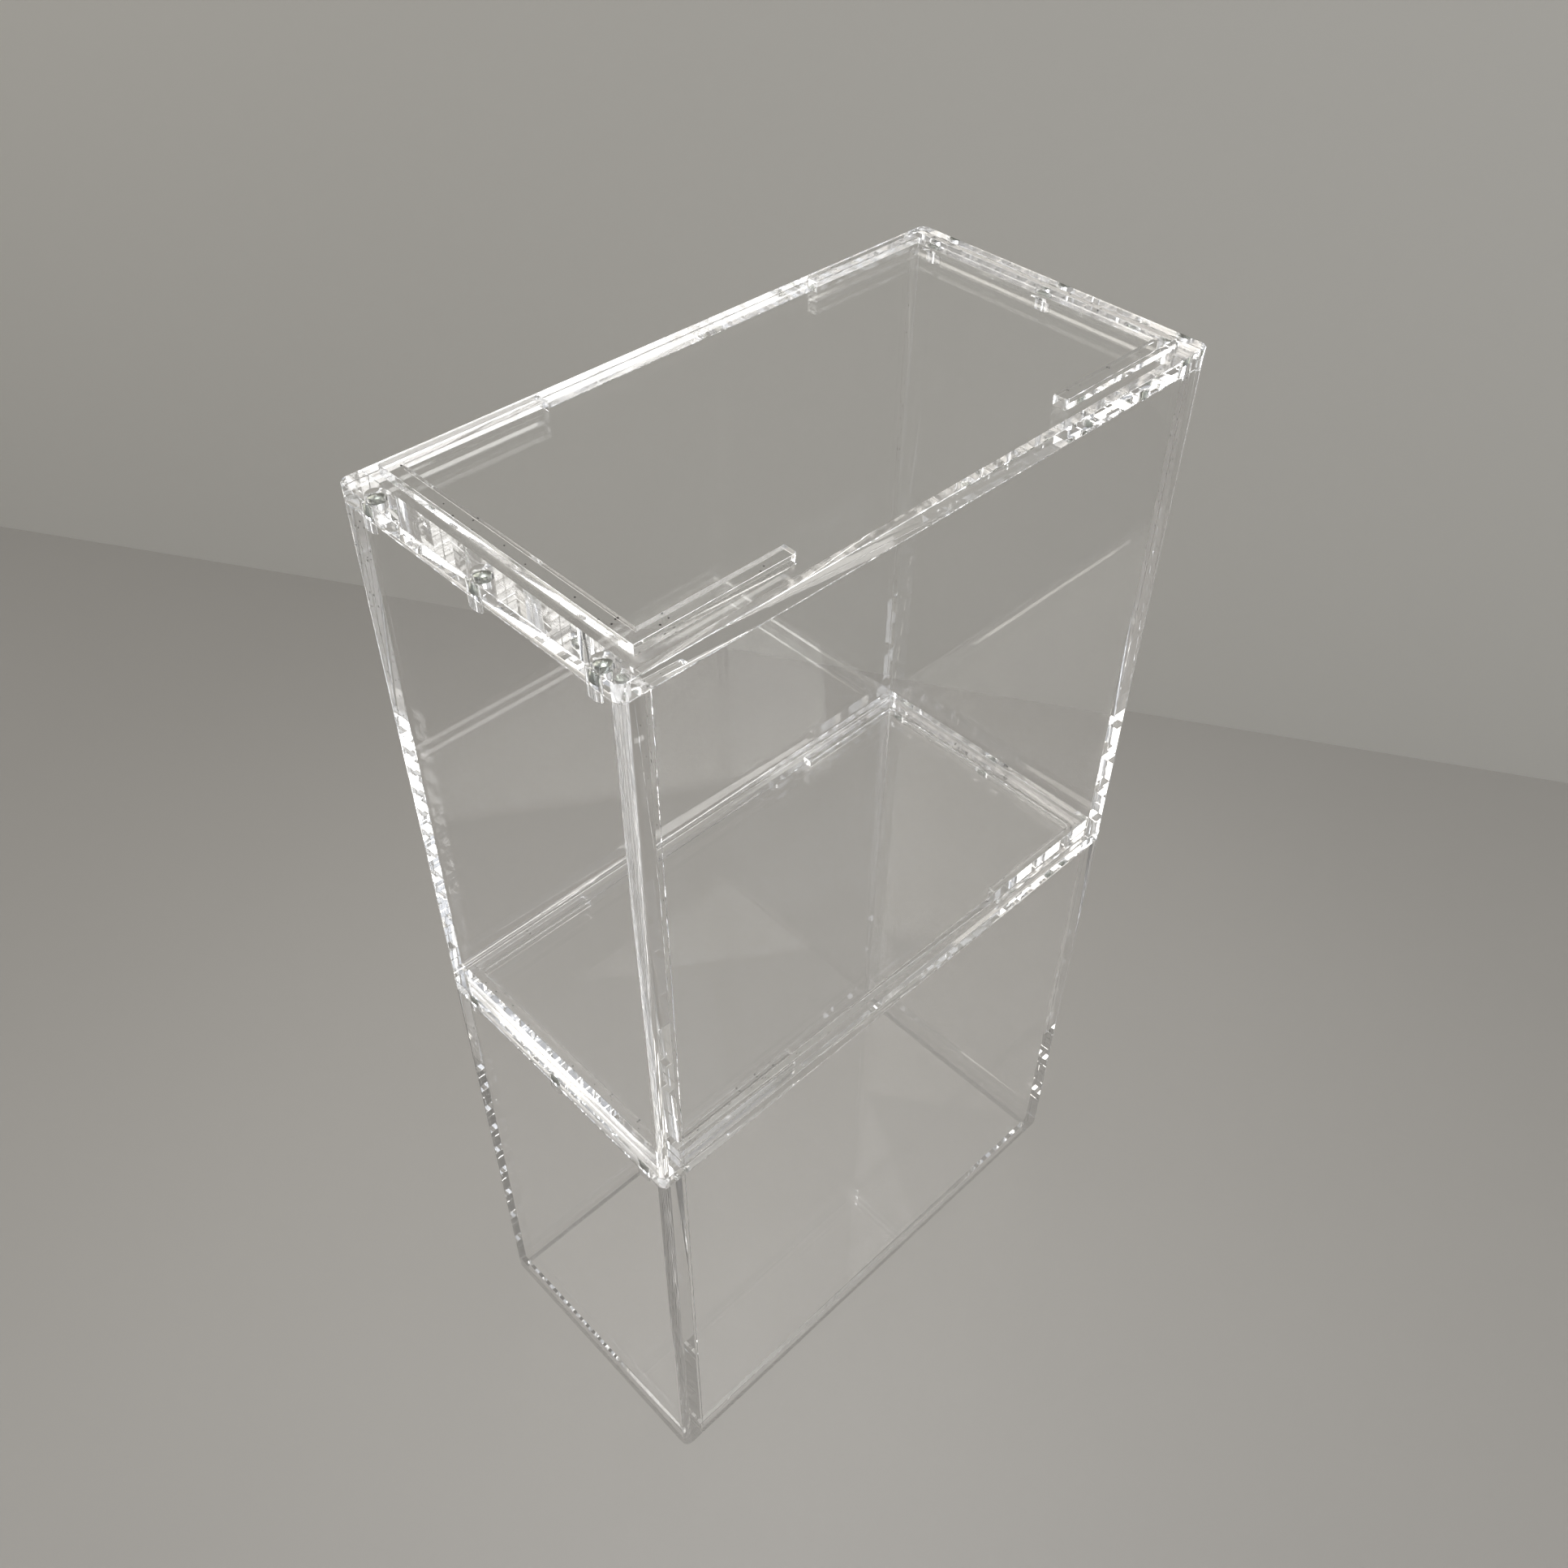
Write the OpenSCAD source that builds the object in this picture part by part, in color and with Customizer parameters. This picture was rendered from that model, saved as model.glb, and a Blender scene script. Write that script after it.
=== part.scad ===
/* [Box] */
// Length of a box along its front
box_l = 200; // [150:1:320]
// Depth of a box from front to back
box_w = 101; // [70:1:200]
// Height of a box with its lid on, without the stacking rails
box_h = 180; // [60:1:260]
// Thickness of the front and back walls
side_t = 4.8; // [3:0.1:8]
// Thickness of the two end walls, which hold the magnets
end_t = 8; // [6.5:0.1:14]
// Radius of the upright outer corners
corner_r = 2.5; // [0.5:0.1:2.9]

/* [Base] */
// Thickness of the base panel
base_t = 4.8; // [3:0.1:8]
// Space between the base panel and the rails it passes over when stacked
rail_headroom = 1; // [0.3:0.1:6]

/* [Lid] */
// Thickness of the lid panel
lid_t = 5; // [4.5:0.1:8]
// Film of air wherever a lid rests on walls or a box rests on a lid
seat_gap = 0.06; // [0.02:0.01:0.2]

/* [Stacking rails] */
// Height of a rail above the lid
rail_h = 3; // [1.5:0.1:6]
// Width of the strip that a rail is made of
rail_w = 4.2; // [3:0.1:8]
// Length of a rail's two arms along the long sides
arm_l = 45.6; // [20:0.1:60]
// Clearance between a rail and the walls of the box stacked over it
rail_clear = 0.4; // [0.2:0.05:1.5]

/* [Magnets] */
// Diameter of a disc magnet
magnet_d = 5; // [3:0.1:6]
// Thickness of a disc magnet
magnet_t = 3; // [1.5:0.1:3.5]
// Bevel on the rims of a disc magnet
magnet_bevel = 0.3; // [0.1:0.05:0.5]
// Distance from the outer magnets' centres to the long sides
magnet_inset = 9.8; // [6:0.1:16]
// Magnets along each end of a lid or box
magnet_count = 3; // [2:1:5]
// Play between a magnet and the side of its pocket
magnet_play = 0.05; // [0.02:0.01:0.2]
// Depth of a magnet's face below the seat
magnet_sink = 0.08; // [0.02:0.01:0.3]
// Drilled space under a magnet in an end wall
wall_pocket_spare = 1.2; // [0.2:0.1:4]
// Drilled space over a magnet in a lid
lid_pocket_spare = 0.05; // [0.02:0.01:0.2]
// Width of the mark that the drill's point leaves in a pocket's floor
drill_mark_d = 0.9; // [0.4:0.1:1.5]
// Depth of the mark that the drill's point leaves
drill_mark_h = 0.25; // [0.1:0.05:0.4]

/* [Hidden] */
$fn = 48;
acrylic = "#dfe5e4";
rail_tint = "#f3f5f4";
magnet_plate = "#b9b6ae";
eps = 0.01;

wall_h = box_h - lid_t;
base_z = rail_h + rail_headroom;
lid_z = wall_h + seat_gap;
box_pitch = lid_z + lid_t + seat_gap;
pocket_d = magnet_d + 2 * magnet_play;
lid_pocket_h = magnet_sink + magnet_t + lid_pocket_spare;
wall_pocket_h = magnet_sink + magnet_t + wall_pocket_spare;
magnet_x = box_l / 2 - end_t / 2;
magnet_span = box_w - 2 * magnet_inset;
magnet_step = magnet_span / (magnet_count - 1);
magnet_rows = [for (i = [0 : magnet_count - 1]) -magnet_span / 2 + i * magnet_step];
rail_x = box_l / 2 - end_t - rail_clear;
rail_y = box_w / 2 - side_t - rail_clear;

// Square corner less its quarter round, for cutting an outer corner
module corner_cut() {
    difference() {
        translate([-1, -1]) square(corner_r + 1);
        translate([corner_r, corner_r]) circle(corner_r);
    }
}

// Plan of the lid, with its four upright corners rounded
module lid_outline() {
    difference() {
        square([box_l, box_w], center = true);
        for (sx = [0, 1], sy = [0, 1])
            mirror([sx, 0]) mirror([0, sy])
                translate([-box_l / 2, -box_w / 2]) corner_cut();
    }
}

// Plan of the left end wall, rounded at its two outer corners
module end_wall_outline() {
    difference() {
        translate([-box_l / 2, -box_w / 2]) square([end_t, box_w]);
        for (sy = [0, 1])
            mirror([0, sy]) translate([-box_l / 2, -box_w / 2]) corner_cut();
    }
}

// Plan of the left rail: a bar across the lid with an arm along each long side
module rail_outline() {
    difference() {
        translate([-rail_x, -rail_y]) square([arm_l, 2 * rail_y]);
        translate([-rail_x + rail_w, -rail_y + rail_w])
            square([arm_l, 2 * (rail_y - rail_w)]);
    }
}

// Flat-bottomed pocket below height 0, with the mark of the drill's point in its floor
module pocket(depth) {
    translate([0, 0, -depth]) cylinder(h = depth + 1, d = pocket_d);
    translate([0, 0, -depth - drill_mark_h])
        cylinder(h = drill_mark_h + eps, d1 = 0.05, d2 = drill_mark_d);
}

// Disc magnet standing on height 0
module magnet() {
    r = magnet_d / 2;
    rotate_extrude()
        polygon([
            [0, 0], [r - magnet_bevel, 0], [r, magnet_bevel],
            [r, magnet_t - magnet_bevel], [r - magnet_bevel, magnet_t], [0, magnet_t]
        ]);
}

// One copy of a left-hand shape at each magnet place of the left end
module at_magnets() {
    for (y = magnet_rows) translate([-magnet_x, y]) children();
}

// A left-hand shape on the chosen side: 0 keeps it left, 1 turns it to the right
module on_end(side) {
    mirror([side, 0]) children();
}

module base_panel(z) {
    color(acrylic, 0.35)
        translate([-box_l / 2 + end_t, -box_w / 2 + side_t, z + base_z])
            cube([box_l - 2 * end_t, box_w - 2 * side_t, base_t]);
}

// Front or back wall, let in between the end walls
module long_wall(z, side) {
    color(acrylic, 0.35)
        mirror([0, side])
            translate([-box_l / 2 + end_t, -box_w / 2, z])
                cube([box_l - 2 * end_t, side_t, wall_h]);
}

// End wall over the full depth, with the magnet pockets drilled into its top edge
module end_wall(z, side) {
    color(acrylic, 0.35)
        translate([0, 0, z])
            on_end(side)
                difference() {
                    linear_extrude(wall_h) end_wall_outline();
                    translate([0, 0, wall_h]) at_magnets() pocket(wall_pocket_h);
                }
}

// Magnets of one end wall, their upper faces just under its top edge
module wall_magnets(z, side) {
    color(magnet_plate)
        translate([0, 0, z + wall_h - magnet_sink - magnet_t])
            on_end(side) at_magnets() magnet();
}

// Lid panel with a row of blind pockets drilled up into each end
module lid_panel(z) {
    color(acrylic, 0.35)
        translate([0, 0, z + lid_z])
            difference() {
                linear_extrude(lid_t) lid_outline();
                for (side = [0, 1])
                    on_end(side) at_magnets() mirror([0, 0, 1]) pocket(lid_pocket_h);
            }
}

// Rail cemented onto the lid, which keeps the box above from sliding off
module rail(z, side) {
    color(rail_tint, 0.6)
        translate([0, 0, z + lid_z + lid_t])
            on_end(side) linear_extrude(rail_h) rail_outline();
}

// Magnets of one end of a lid, their lower faces just above its underside
module lid_magnets(z, side) {
    color(magnet_plate)
        translate([0, 0, z + lid_z + magnet_sink])
            on_end(side) at_magnets() magnet();
}

module lower_base_panel() { base_panel(0); }
module lower_front_wall() { long_wall(0, 0); }
module lower_back_wall() { long_wall(0, 1); }
module lower_left_end_wall() { end_wall(0, 0); }
module lower_right_end_wall() { end_wall(0, 1); }
module lower_left_wall_magnets() { wall_magnets(0, 0); }
module lower_right_wall_magnets() { wall_magnets(0, 1); }
module lower_lid_panel() { lid_panel(0); }
module lower_left_rail() { rail(0, 0); }
module lower_right_rail() { rail(0, 1); }
module lower_left_lid_magnets() { lid_magnets(0, 0); }
module lower_right_lid_magnets() { lid_magnets(0, 1); }

module upper_base_panel() { base_panel(box_pitch); }
module upper_front_wall() { long_wall(box_pitch, 0); }
module upper_back_wall() { long_wall(box_pitch, 1); }
module upper_left_end_wall() { end_wall(box_pitch, 0); }
module upper_right_end_wall() { end_wall(box_pitch, 1); }
module upper_left_wall_magnets() { wall_magnets(box_pitch, 0); }
module upper_right_wall_magnets() { wall_magnets(box_pitch, 1); }
module upper_lid_panel() { lid_panel(box_pitch); }
module upper_left_rail() { rail(box_pitch, 0); }
module upper_right_rail() { rail(box_pitch, 1); }
module upper_left_lid_magnets() { lid_magnets(box_pitch, 0); }
module upper_right_lid_magnets() { lid_magnets(box_pitch, 1); }

lower_base_panel();
lower_front_wall();
lower_back_wall();
lower_left_end_wall();
lower_right_end_wall();
lower_left_wall_magnets();
lower_right_wall_magnets();
lower_lid_panel();
lower_left_rail();
lower_right_rail();
lower_left_lid_magnets();
lower_right_lid_magnets();
upper_base_panel();
upper_front_wall();
upper_back_wall();
upper_left_end_wall();
upper_right_end_wall();
upper_left_wall_magnets();
upper_right_wall_magnets();
upper_lid_panel();
upper_left_rail();
upper_right_rail();
upper_left_lid_magnets();
upper_right_lid_magnets();
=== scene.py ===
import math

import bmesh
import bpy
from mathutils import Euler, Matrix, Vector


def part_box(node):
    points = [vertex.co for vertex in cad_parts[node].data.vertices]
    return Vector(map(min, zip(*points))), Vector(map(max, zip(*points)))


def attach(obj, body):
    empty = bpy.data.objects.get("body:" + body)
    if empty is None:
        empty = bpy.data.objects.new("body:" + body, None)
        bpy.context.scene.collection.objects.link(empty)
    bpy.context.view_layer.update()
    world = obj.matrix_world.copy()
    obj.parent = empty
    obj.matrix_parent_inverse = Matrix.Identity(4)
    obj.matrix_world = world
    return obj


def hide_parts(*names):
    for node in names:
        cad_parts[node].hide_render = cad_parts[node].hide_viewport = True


bl_info = {
    "name": "Stacked Acrylic Boxes",
    "version": (1, 0, 0),
    "blender": (4, 5, 0),
    "location": "View3D > Sidebar > Acrylic Boxes",
    "description": "Two stacked boxes of cemented acrylic sheet with magnetic lids, on a plain table",
    "category": "Add Mesh",
}

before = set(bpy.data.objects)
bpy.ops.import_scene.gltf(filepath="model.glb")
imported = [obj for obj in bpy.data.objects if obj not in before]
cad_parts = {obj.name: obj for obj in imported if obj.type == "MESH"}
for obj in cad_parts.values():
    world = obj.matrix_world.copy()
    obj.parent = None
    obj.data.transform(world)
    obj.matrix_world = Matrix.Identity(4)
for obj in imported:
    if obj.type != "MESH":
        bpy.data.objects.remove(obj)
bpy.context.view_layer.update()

MM = 0.001
TINY = 0.01 * MM
AXES = "xyz"
WALL_WIDTH = 6.0
LEVELS = ("lower", "upper")
ENDS = ("left", "right")

ACRYLIC_INDEX = 1.49
SHARP_ANGLE = math.radians(30)
BOUNCES = 256
AIM_HEIGHT = 0.18

# Relief of the surfaces: a pattern's length with its height, heights alone, and how far a
# pattern is stretched along an edge or a rib
CAST_SWELL = (45 * MM, 0.02 * MM)
STREAK_RELIEF = 0.0012 * MM
WAVE_RELIEF = 0.006 * MM
LASER_RELIEF = 0.006 * MM
PLATING_GRAIN = (0.25 * MM, 0.004 * MM)
TABLE_CLOUD = 120 * MM
ALONG_EDGE = 0.02
ALONG_RIB = 0.06

# Material slots of an acrylic piece: the three edge slots name the axis that the edge runs along
FACE, EDGE_X, EDGE_Y, EDGE_Z, CEMENT, DRILLED = range(6)


class BoxSizes(bpy.types.PropertyGroup):
    """Fine sizes of the sheet work, which the frame doesn't hold"""

    arris: bpy.props.FloatProperty(
        name="Arris",
        description="Width of the bevel that breaks a sheet's sharp edges",
        default=0.15 * MM, min=0.02 * MM, max=0.5 * MM, unit="LENGTH", precision=5)
    rail_arris: bpy.props.FloatProperty(
        name="Rail arris",
        description="Width of the bevel on the laser-cut rails",
        default=0.1 * MM, min=0.02 * MM, max=0.5 * MM, unit="LENGTH", precision=5)
    corner_radius: bpy.props.FloatProperty(
        name="Corner radius",
        description="Radius of the upright outer corners of the lids and end walls",
        default=2.5 * MM, min=0.5 * MM, max=5 * MM, unit="LENGTH", precision=5)
    corner_steps: bpy.props.IntProperty(
        name="Corner steps",
        description="Facets round a rounded upright corner",
        default=14, min=4, max=32)
    pocket_play: bpy.props.FloatProperty(
        name="Pocket play",
        description="Gap between a magnet and the side of its pocket",
        default=0.05 * MM, min=0.02 * MM, max=0.3 * MM, unit="LENGTH", precision=5)
    lid_pocket_spare: bpy.props.FloatProperty(
        name="Lid pocket spare",
        description="Drilled space over a magnet in a lid",
        default=0.05 * MM, min=0.02 * MM, max=0.5 * MM, unit="LENGTH", precision=5)
    wall_pocket_spare: bpy.props.FloatProperty(
        name="Wall pocket spare",
        description="Drilled space under a magnet in an end wall",
        default=1.2 * MM, min=0.1 * MM, max=4 * MM, unit="LENGTH", precision=5)
    drill_mark: bpy.props.FloatProperty(
        name="Drill mark",
        description="Width of the mark of the drill's point in a pocket's floor",
        default=0.9 * MM, min=0.2 * MM, max=2 * MM, unit="LENGTH", precision=5)
    drill_mark_depth: bpy.props.FloatProperty(
        name="Drill mark depth",
        description="Depth of the mark of the drill's point",
        default=0.25 * MM, min=0.05 * MM, max=0.5 * MM, unit="LENGTH", precision=5)
    tip_radius: bpy.props.FloatProperty(
        name="Arm tip radius",
        description="Rounding of the outer corner at a rail arm's free end",
        default=1.0 * MM, min=0.2 * MM, max=2 * MM, unit="LENGTH", precision=5)
    magnet_bevel: bpy.props.FloatProperty(
        name="Magnet bevel",
        description="Width of the rounded rims of a disc magnet",
        default=0.3 * MM, min=0.05 * MM, max=0.8 * MM, unit="LENGTH", precision=5)
    streak_pitch: bpy.props.FloatProperty(
        name="Polishing streaks",
        description="Spacing of the fine streaks along a polished edge",
        default=0.9 * MM, min=0.05 * MM, max=2 * MM, unit="LENGTH", precision=5)
    wave_length: bpy.props.FloatProperty(
        name="Edge waves",
        description="Length of the slow waves along a polished edge",
        default=9 * MM, min=2 * MM, max=40 * MM, unit="LENGTH", precision=4)
    laser_pitch: bpy.props.FloatProperty(
        name="Laser ribs",
        description="Spacing of the upright ribs on a laser-cut edge",
        default=0.3 * MM, min=0.05 * MM, max=2 * MM, unit="LENGTH", precision=5)
    bubble_share: bpy.props.FloatProperty(
        name="Bubble size",
        description="Radius of a bubble as a share of the bubbles' spacing",
        default=0.12, min=0.02, max=0.5)
    bubble_pitch: bpy.props.FloatProperty(
        name="Bubble spacing",
        description="Spacing of the small bubbles in the cemented joints",
        default=2.2 * MM, min=0.5 * MM, max=20 * MM, unit="LENGTH", precision=5)


class BoxColours(bpy.types.PropertyGroup):
    """Colours of the pieces and the stage, as sRGB hex values"""

    acrylic: bpy.props.StringProperty(
        name="Acrylic", description="Colour of the clear sheet", default="#fefefe")
    passed_light: bpy.props.StringProperty(
        name="Passed light", description="Light that a face lets straight through",
        default="#fefefe")
    magnet: bpy.props.StringProperty(
        name="Magnet", description="Colour of the magnets' nickel plating", default="#8b8e86")
    table: bpy.props.StringProperty(
        name="Table", description="Colour of the pale table", default="#8c8984")
    wall: bpy.props.StringProperty(
        name="Wall", description="Colour of the plain wall behind the table", default="#aaa7a0")


class StageSettings(bpy.types.PropertyGroup):
    """The camera's place and lens, the sky's colour and strength, the spot's power and the wall's
    place
    """

    eye: bpy.props.FloatVectorProperty(
        name="Camera", description="Where the camera stands",
        default=(-0.2322, -0.2312, 0.5495), unit="LENGTH", precision=4)
    heading: bpy.props.FloatProperty(
        name="Heading", description="Way the camera looks, clockwise from +Y",
        default=math.radians(44.525), unit="ROTATION")
    dip: bpy.props.FloatProperty(
        name="Dip", description="How far the camera looks down",
        default=math.radians(44.113), unit="ROTATION")
    roll: bpy.props.FloatProperty(
        name="Roll", description="How far the camera leans to the left",
        default=math.radians(0.64), unit="ROTATION")
    lens: bpy.props.FloatProperty(
        name="Lens", description="Focal length in millimetres on a 36 mm sensor",
        default=34.38, min=10, max=200)
    sky_colour: bpy.props.StringProperty(
        name="Sky", description="Colour of the even light all round", default="#f6f9ff")
    sky_strength: bpy.props.FloatProperty(
        name="Sky strength", description="Strength of the even light all round",
        default=0.6, min=0, max=5)
    pool_power: bpy.props.FloatProperty(
        name="Pool of light", description="Power of the spot over the boxes",
        default=26, min=0, max=500)
    wall_distance: bpy.props.FloatProperty(
        name="Wall distance", description="From the boxes' middle to the wall",
        default=0.336, min=0.2, max=3, unit="LENGTH")
    wall_height: bpy.props.FloatProperty(
        name="Wall height", description="Top of the wall, above the view",
        default=3, min=0.3, max=6, unit="LENGTH")
    wall_heading: bpy.props.FloatProperty(
        name="Wall heading", description="Way from the boxes to the wall, clockwise from +Y",
        default=math.radians(58.03), unit="ROTATION")


def linear(hex_colour):
    """The linear RGBA of an sRGB hex colour."""
    channels = [int(hex_colour[i:i + 2], 16) / 255 for i in (1, 3, 5)]
    return [c / 12.92 if c <= 0.04045 else ((c + 0.055) / 1.055) ** 2.4 for c in channels] + [1.0]


def node(tree, kind, settings=None, **links):
    """Adds a node; settings are its properties or input values, links feed its inputs."""
    made = tree.nodes.new(kind)
    for name, value in (settings or {}).items():
        if hasattr(made, name):
            setattr(made, name, value)
        else:
            made.inputs[int(name) if name.isdigit() else name].default_value = value
    for name, source in links.items():
        socket = int(name[1:]) if name[1:].isdigit() else name.replace("_", " ")
        tree.links.new(source, made.inputs[socket])
    return made


def new_material(name):
    """An empty node material with its output node."""
    material = bpy.data.materials.new(name)
    material.use_nodes = True
    material.node_tree.nodes.clear()
    output = node(material.node_tree, "ShaderNodeOutputMaterial")
    return material, material.node_tree, output


def clear_body(tree, roughness, normal=None):
    """Clear acrylic: bends light by its index of 1.49. Lamplight and the table's light
    pass straight through, so that a clear piece darkens nothing behind it."""
    body = node(tree, "ShaderNodeBsdfPrincipled", {
        "Base Color": linear(bpy.context.scene.box_colours.acrylic), "Roughness": roughness,
        "IOR": ACRYLIC_INDEX, "Transmission Weight": 1.0})
    if normal is not None:
        tree.links.new(normal, body.inputs["Normal"])
    straight = node(tree, "ShaderNodeBsdfTransparent", {
        "Color": linear(bpy.context.scene.box_colours.passed_light)})
    path = node(tree, "ShaderNodeLightPath")
    soft = node(tree, "ShaderNodeMath", {"operation": "MAXIMUM"},
                _0=path.outputs["Is Shadow Ray"], _1=path.outputs["Is Diffuse Ray"])
    return node(tree, "ShaderNodeMixShader", _0=soft.outputs[0],
                _1=body.outputs[0], _2=straight.outputs[0]).outputs[0]


def cast_acrylic():
    """Face of cast acrylic sheet: glass-smooth, with the faint swell of a cast surface."""
    material, tree, output = new_material("cast_acrylic_sheet")
    place = node(tree, "ShaderNodeTexCoord").outputs["Object"]
    swell = node(tree, "ShaderNodeTexNoise",
                 {"Scale": 1 / CAST_SWELL[0], "Detail": 1.0}, Vector=place)
    bump = node(tree, "ShaderNodeBump", {"Strength": 1.0, "Distance": CAST_SWELL[1]},
                Height=swell.outputs[0])
    tree.links.new(clear_body(tree, 0.0, bump.outputs[0]), output.inputs[0])
    return material


def polished_edge(axis):
    """Polished sheet edge: fine streaks along the edge and slow waves left by the polishing."""
    sizes = bpy.context.scene.box_sizes
    material, tree, output = new_material("polished_edge_" + axis)
    place = node(tree, "ShaderNodeTexCoord").outputs["Object"]
    squash = [ALONG_EDGE if name == axis else 1.0 for name in AXES]
    along = node(tree, "ShaderNodeMapping", {"Scale": squash}, Vector=place)
    streaks = node(tree, "ShaderNodeTexNoise",
                   {"Scale": 1 / sizes.streak_pitch, "Detail": 2.0}, Vector=along.outputs[0])
    waves = node(tree, "ShaderNodeTexNoise",
                 {"Scale": 1 / sizes.wave_length, "Detail": 1.0}, Vector=place)
    fine = node(tree, "ShaderNodeBump", {"Strength": 1.0, "Distance": STREAK_RELIEF},
                Height=streaks.outputs[0])
    slow = node(tree, "ShaderNodeBump", {"Strength": 1.0, "Distance": WAVE_RELIEF},
                Height=waves.outputs[0], Normal=fine.outputs[0])
    tree.links.new(clear_body(tree, 0.0, slow.outputs[0]), output.inputs[0])
    return material


def laser_cut_edge():
    """Laser-cut edge: fire-bright, with fine upright ribs left by the pulsing beam."""
    sizes = bpy.context.scene.box_sizes
    material, tree, output = new_material("laser_cut_edge")
    place = node(tree, "ShaderNodeTexCoord").outputs["Object"]
    along = node(tree, "ShaderNodeMapping", {"Scale": (1.0, 1.0, ALONG_RIB)}, Vector=place)
    ribs = node(tree, "ShaderNodeTexNoise",
                {"Scale": 1 / sizes.laser_pitch, "Detail": 2.0}, Vector=along.outputs[0])
    bump = node(tree, "ShaderNodeBump", {"Strength": 1.0, "Distance": LASER_RELIEF},
                Height=ribs.outputs[0])
    tree.links.new(clear_body(tree, 0.03, bump.outputs[0]), output.inputs[0])
    return material


def drilled_acrylic():
    """Wall and floor of a drilled pocket: a little hazy from the drill."""
    material, tree, output = new_material("drilled_acrylic")
    tree.links.new(clear_body(tree, 0.05), output.inputs[0])
    return material


def cemented_joint():
    """Solvent-cemented joint: the two sheets are one, so light passes, apart from small bubbles."""
    sizes = bpy.context.scene.box_sizes
    material, tree, output = new_material("cemented_joint")
    place = node(tree, "ShaderNodeTexCoord").outputs["Object"]
    cells = node(tree, "ShaderNodeTexVoronoi", {"Scale": 1 / sizes.bubble_pitch}, Vector=place)
    bubble = node(tree, "ShaderNodeMath", {"operation": "LESS_THAN", "1": sizes.bubble_share},
                  _0=cells.outputs["Distance"])
    joined = node(tree, "ShaderNodeBsdfTransparent")
    mix = node(tree, "ShaderNodeMixShader", _0=bubble.outputs[0],
               _1=joined.outputs[0], _2=clear_body(tree, 0.0))
    tree.links.new(mix.outputs[0], output.inputs[0])
    return material


def nickel_plating():
    """Bright nickel on a sintered magnet: a warm grey metal, faintly grained."""
    colours = bpy.context.scene.box_colours
    material, tree, output = new_material("nickel_plating")
    place = node(tree, "ShaderNodeTexCoord").outputs["Object"]
    grain = node(tree, "ShaderNodeTexNoise",
                 {"Scale": 1 / PLATING_GRAIN[0], "Detail": 3.0}, Vector=place)
    bump = node(tree, "ShaderNodeBump", {"Strength": 1.0, "Distance": PLATING_GRAIN[1]},
                Height=grain.outputs[0])
    metal = node(tree, "ShaderNodeBsdfPrincipled", {
        "Base Color": linear(colours.magnet), "Metallic": 1.0, "Roughness": 0.2},
        Normal=bump.outputs[0])
    tree.links.new(metal.outputs[0], output.inputs[0])
    return material


def table_top():
    """Satin laminate table top, plain and pale."""
    material, tree, output = new_material("pale_table")
    place = node(tree, "ShaderNodeTexCoord").outputs["Object"]
    cloud = node(tree, "ShaderNodeTexNoise",
                 {"Scale": 1 / TABLE_CLOUD, "Detail": 2.0}, Vector=place)
    colour = node(tree, "ShaderNodeMix", {
        "data_type": "RGBA", "6": linear(bpy.context.scene.box_colours.table),
        "7": [c * 0.97 for c in linear(bpy.context.scene.box_colours.table)]}, _0=cloud.outputs[0])
    surface = node(tree, "ShaderNodeBsdfPrincipled", {"Roughness": 0.5},
                   Base_Color=colour.outputs[2])
    tree.links.new(surface.outputs[0], output.inputs[0])
    return material


def painted_wall():
    """Matt painted wall, which hides nothing from a camera that stands behind it."""
    material, tree, output = new_material("painted_wall")
    paint = node(tree, "ShaderNodeBsdfPrincipled", {
        "Base Color": linear(bpy.context.scene.box_colours.wall), "Roughness": 0.9})
    nothing = node(tree, "ShaderNodeBsdfTransparent")
    side = node(tree, "ShaderNodeNewGeometry").outputs["Backfacing"]
    mix = node(tree, "ShaderNodeMixShader", _0=side, _1=paint.outputs[0], _2=nothing.outputs[0])
    tree.links.new(mix.outputs[0], output.inputs[0])
    return material


MATERIALS = {}


def material(name, *values):
    """The material that a maker function returns, made once."""
    key = (name.__name__,) + values
    if key not in MATERIALS:
        MATERIALS[key] = name(*values)
    return MATERIALS[key]


def slab(lo, hi):
    """A closed block of six faces between two corners."""
    shape = bmesh.new()
    bmesh.ops.create_cube(shape, size=1.0)
    bmesh.ops.scale(shape, vec=hi - lo, verts=shape.verts)
    bmesh.ops.translate(shape, vec=(lo + hi) / 2, verts=shape.verts)
    return shape


def bevel(shape, edges, width, steps):
    """Bevels edges with one profile everywhere."""
    return bmesh.ops.bevel(shape, geom=edges, offset=width, offset_type="OFFSET", affect="EDGES",
                           segments=steps, profile=0.5, material=-1, clamp_overlap=True)["faces"]


def round_uprights(shape, places, radius, steps):
    """Rounds the upright edges that stand at the given x places."""
    uprights = [
        edge for edge in shape.edges
        if abs(edge.verts[0].co.z - edge.verts[1].co.z) > TINY
        and any(abs(edge.verts[0].co.x - x) < TINY for x in places)]
    for face in bevel(shape, uprights, radius, steps):
        face.smooth = True


def break_edges(shape, width):
    """Bevels every sharp edge by a fine arris."""
    sharp = [edge for edge in shape.edges if edge.calc_face_angle(0.0) > SHARP_ANGLE]
    bevel(shape, sharp, width, 1)


def flat_faces(shape, axis, level):
    """The faces that lie flat at a level along an axis."""
    return [face for face in shape.faces
            if abs(abs(face.normal[axis]) - 1) < 0.001
            and abs(face.calc_center_median()[axis] - level) < TINY]


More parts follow.
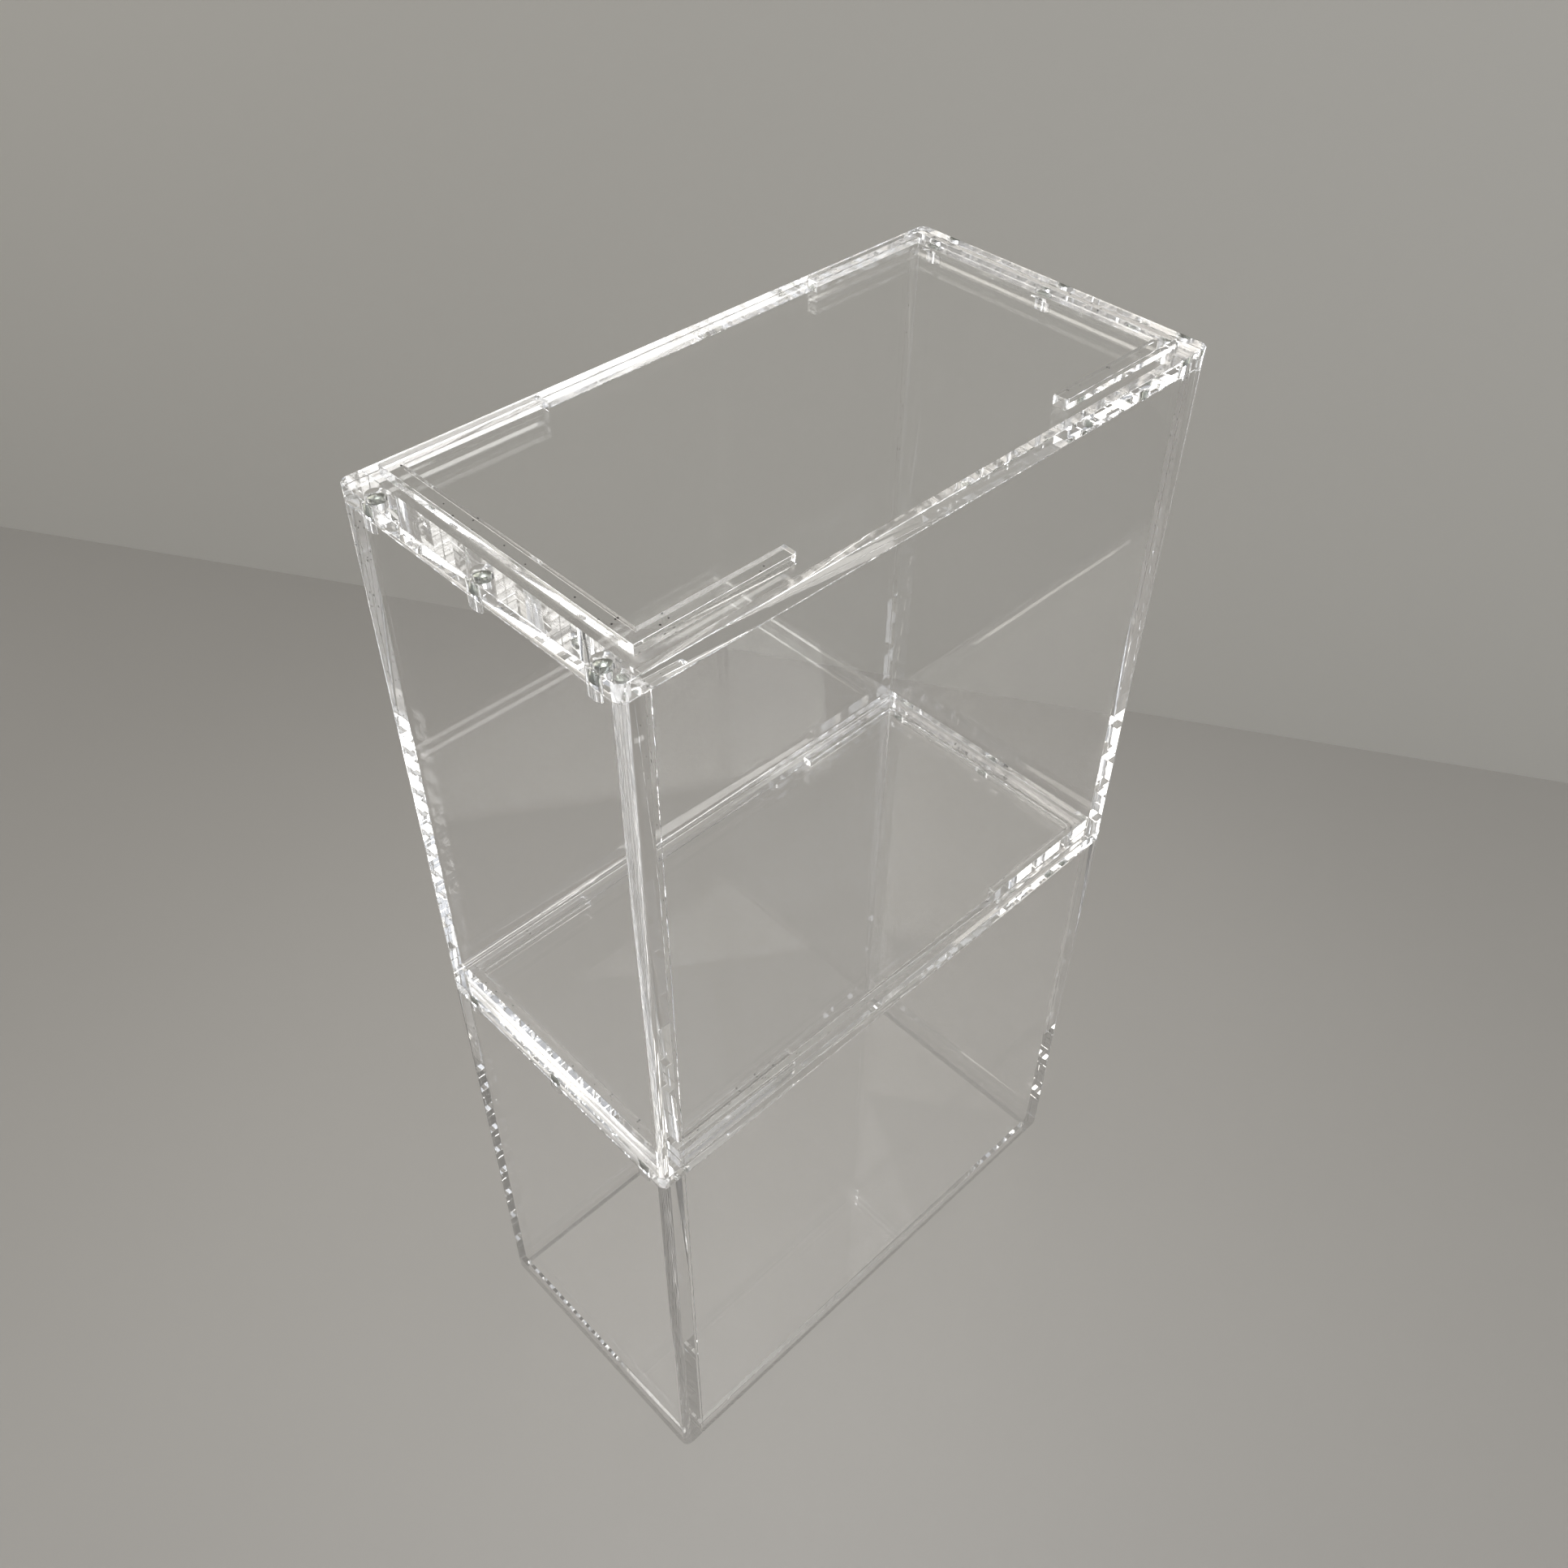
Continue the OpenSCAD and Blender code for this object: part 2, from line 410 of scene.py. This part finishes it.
def cut_faces(shape, faces, axis, level):
    """Cuts flat faces along a level of another axis and returns all the faces it leaves."""
    place, normal = Vector(), Vector()
    place[axis], normal[axis] = level, 1.0
    own = list(faces)
    parts = own + list({e for f in own for e in f.edges}) + list({v for f in own for v in f.verts})
    cut = bmesh.ops.bisect_plane(shape, geom=parts, dist=TINY / 10, plane_co=place, plane_no=normal)
    return [part for part in cut["geom"] if isinstance(part, bmesh.types.BMFace)]


def cement_faces(shape, axis, level, areas):
    """Splits the cemented areas, each a low and a high corner, out of a flat face."""
    for lo, hi in areas:
        for other in (a for a in range(3) if a != axis):
            for edge_level in (lo[other], hi[other]):
                cut_faces(shape, flat_faces(shape, axis, level), other, edge_level)
        for face in flat_faces(shape, axis, level):
            centre = face.calc_center_median()
            if all(lo[a] - TINY < centre[a] < hi[a] + TINY for a in range(3) if a != axis):
                face.material_index = CEMENT


def drill(shape, level, centres, radius, depth, mark, mark_depth):
    """Sinks blind pockets into the flat face at a height; depth below zero drills down."""
    mouth = max(flat_faces(shape, 2, level), key=lambda face: face.calc_area())
    slot = mouth.material_index
    rim = list(mouth.edges)
    bmesh.ops.delete(shape, geom=[mouth], context="FACES_ONLY")
    rings = []
    for x, y in centres:
        ring = bmesh.ops.create_circle(
            shape, cap_ends=False, radius=radius, segments=40,
            matrix=Matrix.Translation((x, y, level)))["verts"]
        rings.append(list({edge for vert in ring for edge in vert.link_edges}))
    filled = bmesh.ops.triangle_fill(
        shape, use_beauty=True, edges=rim + [edge for ring in rings for edge in ring])
    for face in filled["geom"]:
        if isinstance(face, bmesh.types.BMFace):
            face.material_index = slot
    for ring in rings:
        side = bmesh.ops.extrude_edge_only(shape, edges=ring)["geom"]
        bottom = [part for part in side if isinstance(part, bmesh.types.BMVert)]
        bmesh.ops.translate(shape, vec=(0, 0, depth), verts=bottom)
        for part in side:
            if isinstance(part, bmesh.types.BMFace):
                part.smooth = True
                part.material_index = DRILLED
        floor_rim = [part for part in side if isinstance(part, bmesh.types.BMEdge)
                     and all(abs(vert.co.z - level - depth) < TINY for vert in part.verts)]
        floor = bmesh.ops.contextual_create(shape, geom=floor_rim)["faces"]
        bmesh.ops.inset_individual(shape, faces=floor, thickness=radius - mark / 2)
        point = bmesh.ops.poke(shape, faces=floor)["verts"]
        bmesh.ops.translate(shape, vec=(0, 0, math.copysign(mark_depth, depth)), verts=point)
        for vert in bottom:
            for face in vert.link_faces:
                face.material_index = DRILLED
        for face in point[0].link_faces:
            face.material_index = DRILLED


def edge_slots(shape, thickness_axis):
    """Gives each narrow side of a sheet the polish that runs along it."""
    for face in shape.faces:
        if face.material_index in (CEMENT, DRILLED):
            continue
        size = [abs(value) for value in face.normal]
        if size[thickness_axis] > 0.99:
            face.material_index = FACE
            continue
        size[thickness_axis] = -1
        across = size.index(max(size))
        along = 3 - across - thickness_axis
        face.material_index = (EDGE_X, EDGE_Y, EDGE_Z)[along]


def finish_piece(shape, name, body, materials):
    """Makes a shape the piece that stands for its CAD node."""
    bmesh.ops.recalc_face_normals(shape, faces=shape.faces)
    mesh = bpy.data.meshes.new("made_" + name)
    shape.to_mesh(mesh)
    shape.free()
    piece = bpy.data.objects.new("made_" + name, mesh)
    bpy.context.scene.collection.objects.link(piece)
    for item in materials:
        mesh.materials.append(item)
    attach(piece, body)
    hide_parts(name)
    return piece


def sheet_materials():
    """The materials of a sheet piece, in the order of its slots."""
    return [material(cast_acrylic), material(polished_edge, "x"), material(polished_edge, "y"),
            material(polished_edge, "z"), material(cemented_joint), material(drilled_acrylic)]


def shrunk(lo, hi, width):
    """Two corners drawn in by a width on every side."""
    inset = Vector((width, width, width))
    return Vector(lo) + inset, Vector(hi) - inset


def corners(name):
    """The low and high corners of a CAD node."""
    lo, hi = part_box(name)
    return Vector(lo), Vector(hi)


def magnet_centres(name):
    """The upright axes of the discs in one magnet node, with their radius."""
    lo, hi = corners(name)
    radius = (hi.x - lo.x) / 2
    x = (lo.x + hi.x) / 2
    return [(x, lo.y + radius), (x, (lo.y + hi.y) / 2), (x, hi.y - radius)], radius


class ACRYLIC_OT_base_panels(bpy.types.Operator):
    """Base panels, cemented in between the four walls above their lower edges"""

    bl_idname = "acrylic.base_panels"
    bl_label = "Base panels"

    def execute(self, context):
        arris = context.scene.box_sizes.arris
        for level in LEVELS:
            name = level + "_base_panel"
            lo, hi = corners(name)
            shape = slab(lo, hi)
            break_edges(shape, arris)
            edge_slots(shape, 2)
            for axis in (0, 1):
                for side in (lo, hi):
                    for face in flat_faces(shape, axis, side[axis]):
                        face.material_index = CEMENT
            finish_piece(shape, name, level + "_box", sheet_materials())
        return {"FINISHED"}


class ACRYLIC_OT_long_walls(bpy.types.Operator):
    """Front and back walls, cemented in between the end walls"""

    bl_idname = "acrylic.long_walls"
    bl_label = "Front and back walls"

    def execute(self, context):
        arris = context.scene.box_sizes.arris
        for level in LEVELS:
            base = shrunk(*corners(level + "_base_panel"), arris)
            for side in ("front", "back"):
                name = level + "_" + side + "_wall"
                lo, hi = corners(name)
                shape = slab(lo, hi)
                break_edges(shape, arris)
                edge_slots(shape, 1)
                cement_faces(shape, 1, hi.y if side == "front" else lo.y, [base])
                for x in (lo.x, hi.x):
                    for face in flat_faces(shape, 0, x):
                        face.material_index = CEMENT
                finish_piece(shape, name, level + "_box", sheet_materials())
        return {"FINISHED"}


class ACRYLIC_OT_end_walls(bpy.types.Operator):
    """End walls with rounded outer corners and a row of magnet pockets in the top edge"""

    bl_idname = "acrylic.end_walls"
    bl_label = "End walls"

    def execute(self, context):
        sizes = context.scene.box_sizes
        for level in LEVELS:
            joints = [shrunk(*corners(level + joint), sizes.arris)
                      for joint in ("_front_wall", "_back_wall", "_base_panel")]
            for end in ENDS:
                name = level + "_" + end + "_end_wall"
                lo, hi = corners(name)
                outer, inner = (lo.x, hi.x) if end == "left" else (hi.x, lo.x)
                shape = slab(lo, hi)
                round_uprights(shape, [outer], sizes.corner_radius, sizes.corner_steps)
                break_edges(shape, sizes.arris)
                edge_slots(shape, 0)
                magnets = level + "_" + end + "_wall_magnets"
                centres, radius = magnet_centres(magnets)
                depth = hi.z - corners(magnets)[0].z + sizes.wall_pocket_spare
                drill(shape, hi.z, centres, radius + sizes.pocket_play, -depth,
                      sizes.drill_mark, sizes.drill_mark_depth)
                cement_faces(shape, 0, inner, joints)
                finish_piece(shape, name, level + "_box", sheet_materials())
        return {"FINISHED"}


class ACRYLIC_OT_lid_panels(bpy.types.Operator):
    """Lid panels with rounded corners and blind magnet pockets in the underside"""

    bl_idname = "acrylic.lid_panels"
    bl_label = "Lid panels"

    def execute(self, context):
        sizes = context.scene.box_sizes
        for level in LEVELS:
            name = level + "_lid_panel"
            lo, hi = corners(name)
            shape = slab(lo, hi)
            round_uprights(shape, [lo.x, hi.x], sizes.corner_radius, sizes.corner_steps)
            break_edges(shape, sizes.arris)
            edge_slots(shape, 2)
            centres = []
            for end in ENDS:
                magnets = level + "_" + end + "_lid_magnets"
                places, radius = magnet_centres(magnets)
                centres += places
                depth = corners(magnets)[1].z - lo.z + sizes.lid_pocket_spare
            drill(shape, lo.z, centres, radius + sizes.pocket_play, depth,
                  sizes.drill_mark, sizes.drill_mark_depth)
            for end in ENDS:
                cement_faces(shape, 2, hi.z, rail_bars(level, end, sizes.rail_arris))
            finish_piece(shape, name, level + "_lid", sheet_materials())
        return {"FINISHED"}


def rail_width(level, end):
    """The width of a rail's strip: its bar across the lid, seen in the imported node's own points."""
    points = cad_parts[level + "_" + end + "_rail"].data.vertices
    xs = sorted({round(point.co.x, 6) for point in points})
    return xs[1] - xs[0] if end == "left" else xs[-1] - xs[-2]


def rail_bars(level, end, inset):
    """The three bars of a rail's U as corner pairs, drawn in by an inset."""
    lo, hi = corners(level + "_" + end + "_rail")
    width = rail_width(level, end)
    inner = lo.x + width if end == "left" else hi.x - width
    bar = (lo.x, inner) if end == "left" else (inner, hi.x)
    near = (Vector((lo.x, lo.y, lo.z)), Vector((hi.x, lo.y + width, hi.z)))
    far = (Vector((lo.x, hi.y - width, lo.z)), Vector((hi.x, hi.y, hi.z)))
    across = (Vector((bar[0], lo.y, lo.z)), Vector((bar[1], hi.y, hi.z)))
    return [shrunk(*pair, inset) for pair in (near, far, across)]


def rail_block(level, end):
    """A rail's U, drawn round its outline and raised to its height."""
    lo, hi = corners(level + "_" + end + "_rail")
    width = rail_width(level, end)
    tip, back, way = (hi.x, lo.x, 1) if end == "left" else (lo.x, hi.x, -1)
    outline = [(tip, lo.y), (back, lo.y), (back, hi.y), (tip, hi.y), (tip, hi.y - width),
               (back + way * width, hi.y - width), (back + way * width, lo.y + width),
               (tip, lo.y + width)]
    shape = bmesh.new()
    floor = shape.faces.new([shape.verts.new((x, y, lo.z)) for x, y in outline])
    raised = bmesh.ops.extrude_face_region(shape, geom=[floor], use_keep_orig=True)["geom"]
    top = [part for part in raised if isinstance(part, bmesh.types.BMVert)]
    bmesh.ops.translate(shape, vec=(0, 0, hi.z - lo.z), verts=top)
    bmesh.ops.recalc_face_normals(shape, faces=shape.faces)
    tips = [edge for edge in shape.edges
            if abs(edge.verts[0].co.z - edge.verts[1].co.z) > TINY
            and abs(edge.verts[0].co.x - tip) < TINY
            and any(abs(edge.verts[0].co.y - y) < TINY for y in (lo.y, hi.y))]
    for face in bevel(shape, tips, bpy.context.scene.box_sizes.tip_radius, 8):
        face.smooth = True
    return shape


class ACRYLIC_OT_rails(bpy.types.Operator):
    """Stacking rails, each a laser-cut U cemented onto its lid"""

    bl_idname = "acrylic.rails"
    bl_label = "Stacking rails"

    def execute(self, context):
        sizes = context.scene.box_sizes
        for level in LEVELS:
            for end in ENDS:
                name = level + "_" + end + "_rail"
                shape = rail_block(level, end)
                break_edges(shape, sizes.rail_arris)
                for face in shape.faces:
                    face.material_index = FACE if abs(face.normal.z) > 0.99 else EDGE_X
                for face in flat_faces(shape, 2, corners(name)[0].z):
                    face.material_index = CEMENT
                finish_piece(
                    shape, name, level + "_lid",
                    [material(cast_acrylic), material(laser_cut_edge), material(laser_cut_edge),
                     material(laser_cut_edge), material(cemented_joint)])
        return {"FINISHED"}


class ACRYLIC_OT_magnets(bpy.types.Operator):
    """Nickel-plated disc magnets in the lids and the end walls"""

    bl_idname = "acrylic.magnets"
    bl_label = "Disc magnets"

    def execute(self, context):
        sizes = context.scene.box_sizes
        for level in LEVELS:
            for holder, body in (("wall", "_box"), ("lid", "_lid")):
                for end in ENDS:
                    name = level + "_" + end + "_" + holder + "_magnets"
                    lo, hi = corners(name)
                    centres, radius = magnet_centres(name)
                    shape = bmesh.new()
                    for x, y in centres:
                        bmesh.ops.create_cone(
                            shape, cap_ends=True, segments=48, radius1=radius, radius2=radius,
                            depth=hi.z - lo.z, matrix=Matrix.Translation((x, y, (lo.z + hi.z) / 2)))
                    rims = [edge for edge in shape.edges
                            if abs(edge.verts[0].co.z - edge.verts[1].co.z) < TINY]
                    for face in shape.faces:
                        face.smooth = abs(face.normal.z) < 0.5
                    for face in bevel(shape, rims, sizes.magnet_bevel, 3):
                        face.smooth = True
                    finish_piece(shape, name, level + body,
                                 [material(nickel_plating)])
        return {"FINISHED"}


class ACRYLIC_OT_stage(bpy.types.Operator):
    """Table, wall, lamps and the camera at the photograph's viewing angle"""

    bl_idname = "acrylic.stage"
    bl_label = "Stage"

    def execute(self, context):
        scene = context.scene
        settings = scene.box_stage
        table = sheet("table", 6.0, Matrix.Identity(4), material(table_top))
        away = Vector((math.sin(settings.wall_heading), math.cos(settings.wall_heading), 0))
        low = Vector((0, 0, settings.wall_height - WALL_WIDTH / 2))
        upright = Matrix.Translation(away * settings.wall_distance + low) @ (
            (-away).to_track_quat("Z", "Y").to_matrix().to_4x4())
        wall = sheet("wall", WALL_WIDTH, upright, material(painted_wall))
        add_camera(scene, settings)
        add_lights(scene)
        scene.view_settings.view_transform = "Standard"
        for limit in ("max_bounces", "transmission_bounces", "glossy_bounces",
                      "transparent_max_bounces"):
            setattr(scene.cycles, limit, BOUNCES)
        return {"FINISHED"}


def sheet(name, width, place, surface):
    """A flat square of a width, centred on its place."""
    shape = bmesh.new()
    bmesh.ops.create_grid(shape, x_segments=1, y_segments=1, size=width / 2, matrix=place)
    mesh = bpy.data.meshes.new(name)
    shape.to_mesh(mesh)
    shape.free()
    mesh.materials.append(surface)
    flat = bpy.data.objects.new(name, mesh)
    bpy.context.scene.collection.objects.link(flat)
    return flat


def add_camera(scene, settings):
    """The camera that takes the photograph's view."""
    data = bpy.data.cameras.new("camera")
    data.lens, data.sensor_width = settings.lens, 36.0
    data.clip_start, data.clip_end = 0.01, 20.0
    camera = bpy.data.objects.new("camera", data)
    scene.collection.objects.link(camera)
    level = Euler((math.radians(90) - settings.dip, 0, -settings.heading), "XYZ").to_matrix()
    lean = Matrix.Rotation(settings.roll, 3, "Z")
    camera.matrix_world = Matrix.Translation(settings.eye) @ (level @ lean).to_4x4()
    scene.camera = camera


# Softboxes: heading clockwise from +Y, height angle, distance, width, brightness, colour
SOFTBOXES = (
    ("front_right_softbox", 147, 30, 1.3, 0.70, 3.6, "#fffdf8"),
    ("left_softbox", -55, 40, 1.3, 0.70, 2.8, "#fff9ee"),
    ("high_back_softbox", -18, 54, 1.2, 0.60, 2.4, "#fffdf8"),
    ("overhead_softbox", 54, 76, 1.1, 0.50, 2.2, "#f4f8ff"),
    ("camera_side_softbox", -155, 38, 1.4, 0.90, 2.4, "#f4f8ff"),
)


def add_lights(scene):
    """Softboxes all round under a dim even sky."""
    for name, heading, height, distance, width, brightness, colour in SOFTBOXES:
        lamp = bpy.data.lights.new(name, "AREA")
        lamp.shape, lamp.size = "SQUARE", width
        lamp.color = linear(colour)[:3]
        lamp.energy = brightness * math.pi * width ** 2
        heading, height = math.radians(heading), math.radians(height)
        way = Vector((math.sin(heading) * math.cos(height), math.cos(heading) * math.cos(height),
                      math.sin(height)))
        holder = bpy.data.objects.new(name, lamp)
        scene.collection.objects.link(holder)
        holder.matrix_world = Matrix.Translation(way * distance + Vector((0, 0, AIM_HEIGHT))) @ (
            way.to_track_quat("Z", "Y").to_matrix().to_4x4())
    pool = bpy.data.lights.new("pool_of_light", "SPOT")
    pool.spot_size, pool.spot_blend, pool.shadow_soft_size = math.radians(30), 1.0, 0.15
    pool.energy = scene.box_stage.pool_power
    above = bpy.data.objects.new("pool_of_light", pool)
    scene.collection.objects.link(above)
    above.location = (0.02, 0.03, 1.5)
    world = bpy.data.worlds.new("studio")
    world.use_nodes = True
    scene.world = world
    sky = world.node_tree.nodes["Background"]
    sky.inputs["Color"].default_value = linear(scene.box_stage.sky_colour)
    sky.inputs["Strength"].default_value = scene.box_stage.sky_strength


CLASSES = (
    BoxSizes, BoxColours, StageSettings,
    ACRYLIC_OT_base_panels, ACRYLIC_OT_long_walls, ACRYLIC_OT_end_walls, ACRYLIC_OT_lid_panels,
    ACRYLIC_OT_rails, ACRYLIC_OT_magnets, ACRYLIC_OT_stage,
)


class ACRYLIC_PT_boxes(bpy.types.Panel):
    """Sizes, colours and building steps of the stacked boxes"""

    bl_idname = "ACRYLIC_PT_boxes"
    bl_label = "Acrylic Boxes"
    bl_space_type = "VIEW_3D"
    bl_region_type = "UI"
    bl_category = "Acrylic Boxes"

    def draw(self, context):
        for group in ("box_sizes", "box_colours", "box_stage"):
            column = self.layout.column(align=True)
            settings = getattr(context.scene, group)
            for name in settings.__annotations__:
                column.prop(settings, name)
        for item in CLASSES:
            if issubclass(item, bpy.types.Operator):
                self.layout.operator(item.bl_idname)


def register():
    for item in CLASSES + (ACRYLIC_PT_boxes,):
        bpy.utils.register_class(item)
    bpy.types.Scene.box_sizes = bpy.props.PointerProperty(type=BoxSizes)
    bpy.types.Scene.box_colours = bpy.props.PointerProperty(type=BoxColours)
    bpy.types.Scene.box_stage = bpy.props.PointerProperty(type=StageSettings)


def unregister():
    for name in ("box_sizes", "box_colours", "box_stage"):
        delattr(bpy.types.Scene, name)
    for item in reversed(CLASSES + (ACRYLIC_PT_boxes,)):
        bpy.utils.unregister_class(item)


def main():
    register()
    bpy.ops.acrylic.base_panels()
    bpy.ops.acrylic.long_walls()
    bpy.ops.acrylic.end_walls()
    bpy.ops.acrylic.lid_panels()
    bpy.ops.acrylic.rails()
    bpy.ops.acrylic.magnets()
    bpy.ops.acrylic.stage()


if __name__ == "__main__":
    main()
